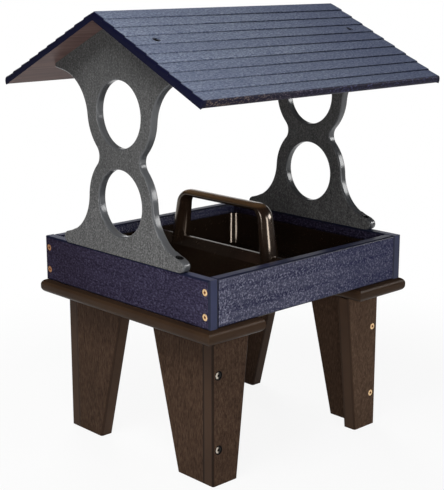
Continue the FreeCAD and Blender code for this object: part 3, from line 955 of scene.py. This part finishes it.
# %% Columns along the ridge
middle = (columns - 1) / 2
off_middle = sum_of(t, "SUBTRACT", column, middle)
side = sum_of(t, "SIGN", off_middle)
from_middle = sum_of(t, "ABSOLUTE", off_middle)
from_end = sum_of(t, "SUBTRACT", middle, from_middle)
end_face = sum_of(t, "LESS_THAN", from_end, 0.5)
inside = sum_of(t, "GREATER_THAN", from_end, 1.5)
round_share = sum_of(t, "DIVIDE", sum_of(t, "SUBTRACT", end_columns, from_end), end_columns - 1)
quarter = add(t, "ShaderNodeClamp", {0: round_share}).outputs[0]
angle = sum_of(t, "MULTIPLY", quarter, math.pi / 2)
straight = sum_of(t, "SUBTRACT", sum_of(t, "MULTIPLY", given["Length"], 0.5), given["End rounding"])
even = sum_of(t, "MINIMUM", sum_of(t, "DIVIDE", from_middle, middle - end_columns), 1.0)
reach = sum_of(t, "MULTIPLY", straight, even)
reach = sum_of(t, "MULTIPLY_ADD", sum_of(t, "SINE", angle), given["End rounding"], reach)
x = sum_of(t, "MULTIPLY", side, reach)
fall = sum_of(t, "SUBTRACT", 1.0, sum_of(t, "COSINE", angle))
drop = sum_of(t, "MULTIPLY", fall, given["End rounding"])
print("columns in each rounded end:", end_columns)

# %% [markdown]
# Down the slope, row 0 is the mitre at the ridge, then come the courses, then the rounded nose at the eave.
# Short lists say for each row of a course how far down it lies, how high it has risen, and whether it
# belongs to the lip or to the groove.

# %% Rows down the slope
in_courses = sum_of(t, "SUBTRACT", row, 1.0)
course = sum_of(t, "FLOOR", sum_of(t, "DIVIDE", in_courses, rows_in_course))
course = add(t, "ShaderNodeClamp", {0: course, 1: 0.0, 2: course_count - 1}).outputs[0]
step_row = sum_of(t, "SUBTRACT", in_courses, sum_of(t, "MULTIPLY", course, rows_in_course))
course_length = sum_of(t, "DIVIDE", given["Slope"], course_count)
first = sum_of(t, "LESS_THAN", course, 0.5)
last = sum_of(t, "GREATER_THAN", course, course_count - 1.5)
mitre = sum_of(t, "LESS_THAN", row, 0.5)
nose_row = sum_of(t, "SUBTRACT", in_courses, rows_in_course * course_count)
nose = sum_of(t, "GREATER_THAN", nose_row, -0.5)

share = row_value(t, step_row, [0.0, 0.03, 0.075, 0.35, 0.68, 0.93, 0.985, 1.0])
rise = row_value(t, step_row, [0.0, 0.0, 0.0, 0.32, 0.65, 0.92, 1.0, 1.0])
lip = row_value(t, step_row, [0.0, 0.0, 0.0, 0.0, 0.0, 0.0, 0.06, 0.45])
groove = row_value(t, step_row, [1.0, 1.0, 0.0, 0.0, 0.0, 0.0, 0.0, 0.0])
under = row_value(t, step_row, [1.0, 0.35, 0.0, 0.0, 0.0, 0.0, 0.0, 0.0])
loose = row_value(t, step_row, [1.0, 1.0, 0.4, 0.0, 0.0, 0.6, 1.0, 1.0])
not_first = sum_of(t, "SUBTRACT", 1.0, first)
not_last = sum_of(t, "SUBTRACT", 1.0, last)
plain_v = sum_of(t, "MULTIPLY", sum_of(t, "ADD", course, share), course_length)
eave_start = sum_of(t, "SUBTRACT", given["Slope"], given["Nose"])
plain_v = sum_of(t, "MINIMUM", plain_v, eave_start)
plain_v = sum_of(t, "MAXIMUM", plain_v, sum_of(t, "MULTIPLY", nose, eave_start))
print("rows in each course:", rows_in_course)

# %% [markdown]
# The lip wanders a little, and the groove under it follows. Towards the left end the groove is worn
# shallow.

# %% Lips and grooves
before_lip = sum_of(t, "LESS_THAN", step_row, 2.5)
lip_number = sum_of(t, "SUBTRACT", course, before_lip)
wave_place = add(t, "ShaderNodeCombineXYZ", {0: x, 1: lip_number, 2: given["Seed"]}).outputs[0]
wave_place = vector_sum(t, "MULTIPLY", wave_place, (55.0, 3.7, 9.1))
wave = sum_of(t, "SUBTRACT", noise(t, wave_place, 1.0, 3.0), 0.5)
wave = sum_of(t, "MULTIPLY", sum_of(t, "MULTIPLY", wave, loose), given["Wander"])
wave = sum_of(t, "MULTIPLY", wave, sum_of(t, "SUBTRACT", 1.0, nose))
wave = sum_of(t, "MULTIPLY", wave, sum_of(t, "MAXIMUM", not_last, before_lip))
place_x = sum_of(t, "MULTIPLY", x, sum_of(t, "COSINE", given["Turn"]))
crispness = sum_of(t, "MULTIPLY", ramp(t, place_x, -0.20, 0.12, 0.2, 1.0), not_first)
inset = sum_of(t, "MULTIPLY", sum_of(t, "MULTIPLY", under, given["Undercut"]), crispness)
top_v = sum_of(t, "SUBTRACT", plain_v, sum_of(t, "MULTIPLY", inset, inside))
top_v = sum_of(t, "ADD", top_v, sum_of(t, "MULTIPLY", wave, inside))

low_share = sum_of(t, "SUBTRACT", 1.0, rise)
low_share = sum_of(t, "MULTIPLY_ADD", lip, not_last, low_share)
depth = sum_of(t, "MULTIPLY", low_share, given["Step"])
deep = sum_of(t, "MULTIPLY", sum_of(t, "MULTIPLY", groove, given["Groove"]), crispness)
depth = sum_of(t, "ADD", depth, deep)
print("roof tree so far:", len(t.nodes), "nodes")

# %% [markdown]
# The nose is half an ellipse round the eave. At the ridge the board ends in an upright mitre, with a hair
# of room to the board of the other slope.

# %% Nose and mitre
nose_angle = sum_of(t, "MULTIPLY", nose_row, math.pi / (nose_rows - 1))
nose_v = sum_of(t, "MULTIPLY_ADD", sum_of(t, "SINE", nose_angle), given["Nose"], eave_start)
nose_fall = sum_of(t, "SUBTRACT", 0.5, sum_of(t, "MULTIPLY", sum_of(t, "COSINE", nose_angle), 0.5))
nose_depth = sum_of(t, "MULTIPLY", nose_fall, given["Thickness"])

top_v = choose(t, nose, top_v, nose_v)
depth = choose(t, nose, depth, nose_depth)
depth = sum_of(t, "MINIMUM", sum_of(t, "ADD", depth, drop), given["Thickness"])
closed = sum_of(t, "MAXIMUM", mitre, end_face)
depth = choose(t, closed, depth, given["Thickness"])
top_v = choose(t, end_face, top_v, plain_v)
slant = sum_of(t, "TANGENT", given["Pitch"])
ridge_v = sum_of(t, "DIVIDE", given["Ridge gap"], sum_of(t, "COSINE", given["Pitch"]))
top_v = sum_of(t, "MAXIMUM", top_v, sum_of(t, "MULTIPLY_ADD", depth, slant, ridge_v))
under_v = sum_of(t, "MAXIMUM", plain_v, sum_of(t, "MULTIPLY_ADD", given["Thickness"], slant, ridge_v))
print("roof tree so far:", len(t.nodes), "nodes")

# %% [markdown]
# The finish has to know where the grooves and machined rims are, so the tree keeps those as numbers on the
# points. It does so before it moves them, while a point's place still tells its column and row. The whole
# underside counts as rim, so that the rims don't fade where the two sheets share a border.

# %% Close the roof
top = noted(t, flat_grid, "groove", sum_of(t, "MULTIPLY", groove, not_first))
tone = noise(t, add(t, "ShaderNodeCombineXYZ", {0: course, 1: given["Seed"], 2: 0.0}).outputs[0], 1.37, 0.0)
top = noted(t, top, "course_tone", tone)
at_end = sum_of(t, "LESS_THAN", from_end, end_columns - 1.5)
at_nose = sum_of(t, "GREATER_THAN", nose_row, 0.5)
top = noted(t, top, "rim", sum_of(t, "MAXIMUM", at_end, at_nose))
top = moved(t, top, x, sum_of(t, "MULTIPLY", top_v, -1.0), sum_of(t, "MULTIPLY", depth, -1.0))
top = add(t, "GeometryNodeFlipFaces", {0: top}).outputs[0]
under_z = sum_of(t, "MULTIPLY", given["Thickness"], -1.0)
below = moved(t, flat_grid, x, sum_of(t, "MULTIPLY", under_v, -1.0), under_z)
below = noted(t, below, "underside", 1.0)
below = noted(t, below, "rim", 1.0)
both = add(t, "GeometryNodeJoinGeometry")
for sheet in (below, top):
    t.links.new(sheet, both.inputs[0])
board = merged(t, both.outputs[0])
print("roof tree so far:", len(t.nodes), "nodes")

# %% [markdown]
# The seats of the screws are cut with the exact solver, which keeps the numbers on the points. The board is
# then tilted to the pitch and lifted to the ridge, and the rear one is turned round.

# %% Cut the screw seats and raise the roof
seat_inputs = {"Vertices": 24, "Radius": given["Screw seat radius"], "Depth": roof_thickness}
seat = add(t, "GeometryNodeMeshCylinder", seat_inputs).outputs["Mesh"]
# The seat walls take the grooves' painted shade.
seat = noted(t, seat, "groove", 1.0)
seat_v = sum_of(t, "DIVIDE", given["Screw slope"], sum_of(t, "COSINE", given["Pitch"]))
seat_y = sum_of(t, "MULTIPLY", seat_v, -1.0)
seats = add(t, "GeometryNodeJoinGeometry")
for way in (-1.0, 1.0):
    seat_x = sum_of(t, "MULTIPLY", given["Screw spread"], way)
    spot = add(t, "ShaderNodeCombineXYZ", {0: seat_x, 1: seat_y, 2: 0.0}).outputs[0]
    inputs = {"Geometry": seat, "Translation": spot}
    t.links.new(add(t, "GeometryNodeTransform", inputs).outputs[0], seats.inputs[0])
cut = add(t, "GeometryNodeMeshBoolean", operation="DIFFERENCE", solver="EXACT")
t.links.new(board, cut.inputs["Mesh 1"])
t.links.new(seats.outputs[0], cut.inputs["Mesh 2"])
shaded = smooth_but_sharp(t, cut.outputs[0], math.radians(40))
tilt = add(t, "ShaderNodeCombineXYZ", {0: given["Pitch"]}).outputs[0]
lift = add(t, "ShaderNodeCombineXYZ", {2: given["Ridge height"]}).outputs[0]
inputs = {"Geometry": shaded, "Rotation": tilt, "Translation": lift}
tilted = add(t, "GeometryNodeTransform", inputs).outputs[0]
spin = add(t, "ShaderNodeCombineXYZ", {2: given["Turn"]}).outputs[0]
faced = add(t, "GeometryNodeTransform", {"Geometry": tilted, "Rotation": spin}).outputs[0]
end_tree(t, result, faced, given["Finish"])
print("roof tree has", len(t.nodes), "nodes")

# %% [markdown]
# The roof's finish is a paler slate blue, with a painted shade that deepens towards the right end. Fine
# streaks run along the ridge, each course has a slightly different tone, and the grooves carry a painted
# shade that fades towards the left end.
# The end rims are smooth and deep blue, the eave is dark with flakes showing, and the underside is a
# brownish grey with streaks only.

# %% Roof finish
end_rim_start = 211 * MM
end_rim_full = 213 * MM


def roof_finish():
    material, tree, shader = new_finish("roof_lumber", specular=0.05)
    spot = add(tree, "ShaderNodeTexCoord").outputs["Object"]
    flecks = placed(tree, grain, Vector=spot, Fleck_size=1.9 * MM, Stretch=2.0)
    worn = placed(tree, weather, Vector=spot)
    note = {}
    for name in ("groove", "course_tone", "rim", "underside"):
        note[name] = add(tree, "ShaderNodeAttribute", attribute_name=name).outputs["Fac"]
    colour = blend_colours(tree, flecks["Light fleck"], paint(115, 124, 145), paint(158, 166, 182))
    colour = blend_colours(tree, flecks["Dark fleck"], colour, paint(74, 82, 110))
    streaked = sum_of(tree, "MULTIPLY", flecks["Streak"], 0.3)
    colour = blend_colours(tree, streaked, colour, paint(126, 135, 148))
    toned = ramp(tree, note["course_tone"], 0.3, 0.7, 0.0, 0.25)
    colour = blend_colours(tree, toned, colour, paint(88, 95, 118))
    colour = blend_colours(tree, sum_of(tree, "MULTIPLY", worn["Fade"], 0.2), colour, paint(86, 93, 116))
    along = dot(tree, spot, (1, 0, 0))
    # A painted shade that deepens towards the right end.
    colour = blend_colours(tree, ramp(tree, along, -0.05, 0.22, 0.0, 0.35), colour, paint(70, 78, 114))
    # The grooves carry a painted shade, weaker towards the left end and on light flecks.
    kept = ramp(tree, along, -0.20, 0.15, 0.15, 0.95)
    kept = sum_of(tree, "MULTIPLY", kept, ramp(tree, flecks["Light fleck"], 0.0, 1.0, 1.0, 0.4))
    colour = blend_colours(tree, sum_of(tree, "MULTIPLY", note["groove"], kept), colour, paint(20, 22, 48))
    flake = blend_colours(tree, ramp(tree, along, -0.2, 0.05), paint(114, 99, 90), paint(66, 68, 104))
    eave = blend_colours(tree, flecks["Light fleck"], paint(31, 28, 44), flake)
    at_end = ramp(tree, sum_of(tree, "ABSOLUTE", along), end_rim_start, end_rim_full)
    rim_colour = blend_colours(tree, at_end, eave, paint(17, 18, 40))
    colour = blend_colours(tree, note["rim"], colour, rim_colour)
    below = blend_colours(tree, flecks["Streak"], paint(90, 70, 67), paint(119, 97, 92))
    colour = blend_colours(tree, ramp(tree, note["underside"], 0.85, 1.0), colour, below)
    feed(tree, shader["Base Color"], colour)
    gloss = sum_of(tree, "MULTIPLY_ADD", flecks["Streak"], 0.1, 0.55)
    gloss = sum_of(tree, "MULTIPLY_ADD", worn["Scuff"], -0.1, gloss)
    feed(tree, shader["Roughness"], sum_of(tree, "MULTIPLY_ADD", note["rim"], -0.15, gloss))
    flat_share = sum_of(tree, "SUBTRACT", 1.0, note["rim"])
    height = sum_of(tree, "MULTIPLY", flecks["Height"], flat_share)
    bump = add(tree, "ShaderNodeBump", {"Strength": 0.35, "Distance": 0.6 * MM, "Height": height})
    feed(tree, shader["Normal"], bump.outputs[0])
    return material


roof_lumber = roof_finish()
for name, turn_angle, seed in (("front", 0.0, 1.0), ("rear", math.pi, 2.0)):
    values = {"Finish": roof_lumber, "Turn": turn_angle, "Seed": seed}
    panel = grow("lapped_roof_" + name, roof_tree, values)
    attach(panel, "stand")
    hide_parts("roof_panel_" + name)

# %% [markdown]
# ## The screws
# Countersunk screws with a square drive hold the boards. One tree turns the section of a screw round its
# axis, row by row, and squares off the rows of the drive. It then puts a screw at every point of a small
# mesh, pointing along the direction kept on that point, each with its own turn.

# %% Screw tree
head_radius = 4.6 * MM
screw_columns = 24
screw_rows = 11

screw_tree, given, result = new_group(
    "Countersunk screws",
    "GeometryNodeTree",
    [
        ("Geometry", GEOMETRY, None),
        ("Head radius", NUMBER, head_radius),
        ("Head height", NUMBER, 3 * MM),
        ("Shank radius", NUMBER, 2 * MM),
        ("Length", NUMBER, 40 * MM),
        ("Drive width", NUMBER, 3.0 * MM),
        ("Drive depth", NUMBER, 2 * MM),
        ("Seed", COUNT, 3),
        ("Finish", FINISH, None),
    ],
    [("Geometry", GEOMETRY)],
)
t = screw_tree
sheet, column, row = unit_grid(t, screw_columns + 1, screw_rows)
print("screw grid:", screw_columns + 1, "columns and", screw_rows, "rows")

# %% Turn the section of a screw
angle = sum_of(t, "MULTIPLY", column, 2 * math.pi / screw_columns)
across = sum_of(t, "COSINE", angle)
upward = sum_of(t, "SINE", angle)
widest = sum_of(t, "MAXIMUM", sum_of(t, "ABSOLUTE", across), sum_of(t, "ABSOLUTE", upward))
square = sum_of(t, "DIVIDE", sum_of(t, "MULTIPLY", given["Drive width"], 0.5), widest)
head = given["Head radius"]
shank = given["Shank radius"]
radii = [0.0, sum_of(t, "MULTIPLY", square, 0.9), square, sum_of(t, "MULTIPLY", square, 1.12)]
radii += [sum_of(t, "MULTIPLY", head, part) for part in (0.62, 0.86, 0.97, 1.0)]
radii += [shank, shank, 0.0]
floor_of_drive = sum_of(t, "MULTIPLY", given["Drive depth"], -1.0)
tip = sum_of(t, "MULTIPLY", given["Length"], -1.0)
heights = [floor_of_drive, floor_of_drive, -0.25 * MM, -0.03 * MM, 0.0, -0.05 * MM, -0.22 * MM, -0.6 * MM]
heights += [sum_of(t, "MULTIPLY", given["Head height"], -1.0), sum_of(t, "ADD", tip, shank), tip]
radius = row_value(t, row, radii)
level = row_value(t, row, heights)
sheet = noted(t, sheet, "drive", sum_of(t, "LESS_THAN", row, 2.5))
turned = moved(t, sheet, sum_of(t, "MULTIPLY", radius, across), sum_of(t, "MULTIPLY", radius, upward), level)
one = smooth_but_sharp(t, merged(t, turned), math.radians(35))
print("screw tree so far:", len(t.nodes), "nodes")

# %% Put a screw at every point
axis = add(t, "GeometryNodeInputNamedAttribute", {"Name": "axis"}, data_type="FLOAT_VECTOR").outputs[0]
outward = vector_sum(t, "SCALE", axis)
outward.node.inputs["Scale"].default_value = -1.0
spin = add(t, "FunctionNodeRandomValue", data_type="FLOAT")
for key, value in ((2, 0.0), (3, 2 * math.pi), (8, given["Seed"])):
    feed(t, spin.inputs[key], value)
spun = add(t, "ShaderNodeCombineXYZ", {2: spin.outputs[1]}).outputs[0]
inputs = {"Rotation": spun, "Vector": outward}
facing = add(t, "FunctionNodeAlignRotationToVector", inputs, axis="Z").outputs[0]
inputs = {"Points": given["Geometry"], "Instance": one, "Rotation": facing}
every = add(t, "GeometryNodeInstanceOnPoints", inputs).outputs[0]
end_tree(t, result, every, given["Finish"])
print("screw tree has", len(t.nodes), "nodes")

# %% [markdown]
# Most screws have a pale yellow plating with a dull bloom, and those in the roof are dark. The drive
# is painted darker and is rougher than the polished rim. Screws nearer the rear get a painted shade, and the
# two in the near leg get a painted pale glint on their left half and a painted dark shade on the rest.

# %% Screw finishes
near_leg_limits = [
    ((1, 0, 0), -100 * MM, -110 * MM),
    ((0, 1, 0), -80 * MM, -90 * MM),
    ((0, 0, 1), 190 * MM, 180 * MM),
]


def screw_finish(name, metal, dull, drive_and_shade):
    material, tree, shader = new_finish(name, specular=0.5)
    shader["Metallic"].default_value = 0.7
    spot = add(tree, "ShaderNodeTexCoord").outputs["Object"]
    bloom = ramp(tree, noise(tree, spot, 1 / (1.5 * MM), 3.0), 0.35, 0.65)
    drive = add(tree, "ShaderNodeAttribute", attribute_name="drive").outputs["Fac"]
    colour = blend_colours(tree, sum_of(tree, "MULTIPLY", bloom, 0.6), metal, dull)
    # Screws nearer the rear get a painted shade.
    rear_shade = ramp(tree, dot(tree, spot, (0, 1, 0)), 0.0, 140 * MM, 0.0, 0.85)
    colour = blend_colours(tree, sum_of(tree, "MAXIMUM", drive, rear_shade), colour, drive_and_shade)
    # In the near leg, the left half of each head gets a painted pale glint and the rest a painted dark shade.
    across = dot(tree, spot, (1, 0, 0))
    shaded_half = ramp(tree, across, -leg_line_x - 2 * MM, -leg_line_x + 1 * MM)
    glint_and_shade = blend_colours(tree, shaded_half, paint(190, 180, 166), paint(16, 13, 11))
    in_near_leg = 1.0
    for way, start, end in near_leg_limits:
        within = ramp(tree, dot(tree, spot, way), start, end)
        in_near_leg = sum_of(tree, "MULTIPLY", in_near_leg, within)
    colour = blend_colours(tree, in_near_leg, colour, glint_and_shade)
    feed(tree, shader["Base Color"], colour)
    gloss = sum_of(tree, "MULTIPLY_ADD", bloom, 0.15, 0.25)
    feed(tree, shader["Roughness"], sum_of(tree, "MULTIPLY_ADD", drive, 0.3, gloss))
    return material


brass = screw_finish("brass_screw_metal", paint(244, 210, 160), paint(214, 164, 110), paint(150, 92, 52))
dark_steel = screw_finish("dark_screw_metal", paint(48, 46, 52), paint(32, 30, 34), paint(12, 12, 14))
print("screw finishes:", brass.name, dark_steel.name)

# %% [markdown]
# The screws are the same at all four corners, so their places are written once and mirrored. A place is
# the point where a head meets its board, with the direction into the board. The screws of one kind become
# one piece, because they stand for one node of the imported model.

# %% Screw places
box_bottom = 216 * MM
box_top = 278 * MM
base_bottom = 197 * MM
half_length = 182 * MM
wall_line_y = 159 * MM
wall_line_x = 174 * MM
wall_screw_levels = (231.5 * MM, 262.5 * MM)
gable_seat_rise = 11.5 * MM
leg_face_y = 148.5 * MM
leg_end_screw_y = 92.5 * MM
leg_side_screw_x = 125.5 * MM
leg_side_line_y = 139 * MM
hold_down_reach = 120 * MM
head_sink = 0.4 * MM

places = {"wall": [], "gable": [], "leg": [], "base": [], "hold_down": [], "roof": []}
down = Vector((0, 0, -1))
for end in (-1, 1):
    for front in (-1, 1):
        for level in wall_screw_levels:
            on_wall = Vector((end * half_length, front * wall_line_y, level))
            places["wall"].append((on_wall, Vector((-end, 0, 0))))
        gable_seat = Vector((end * gable_x, front * gable_screw_y, box_top + gable_seat_rise))
        places["gable"].append((gable_seat, down))
        for level in leg_screw_levels:
            on_leg = Vector((end * leg_line_x, front * leg_face_y, level))
            places["leg"].append((on_leg, Vector((0, -front, 0))))
        over_leg_end = Vector((end * leg_line_x, front * leg_end_screw_y, box_bottom))
        over_leg_side = Vector((end * leg_side_screw_x, front * leg_side_line_y, box_bottom))
        places["base"] += [(over_leg_end, down), (over_leg_side, down)]
        under_end_wall = Vector((end * wall_line_x, front * hold_down_reach, base_bottom))
        under_side_wall = Vector((end * hold_down_reach, front * wall_line_y, base_bottom))
        places["hold_down"] += [(under_end_wall, -down), (under_side_wall, -down)]
        square_in = Vector((0, -front * math.sin(roof_pitch), -math.cos(roof_pitch)))
        roof_level = ridge_height - roof_screw_y * math.tan(roof_pitch)
        on_roof = Vector((end * gable_x, front * roof_screw_y, roof_level))
        places["roof"].append((on_roof, square_in))
print("screws:", {kind: len(found) for kind, found in places.items()})

# %% Put the screws in
lengths = {"wall": 46, "gable": 40, "leg": 42, "base": 45, "hold_down": 38, "roof": 34}
sinks = {"gable": 0.0, "leg": 0.3 * MM, "roof": course_step + head_sink}

for kind, found in places.items():
    points = bpy.data.meshes.new(kind + "_points")
    sink = sinks.get(kind, head_sink)
    points.from_pydata([place + direction * sink for place, direction in found], [], [])
    kept = points.attributes.new("axis", "FLOAT_VECTOR", "POINT")
    for number, (place, direction) in enumerate(found):
        kept.data[number].vector = direction
    metal = dark_steel if kind == "roof" else brass
    values = {"Length": lengths[kind] * MM, "Finish": metal, "Seed": len(kind)}
    screws = grow(kind + "_countersunk_screws", screw_tree, values, points)
    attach(screws, "stand")
    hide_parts(kind + "_screws")
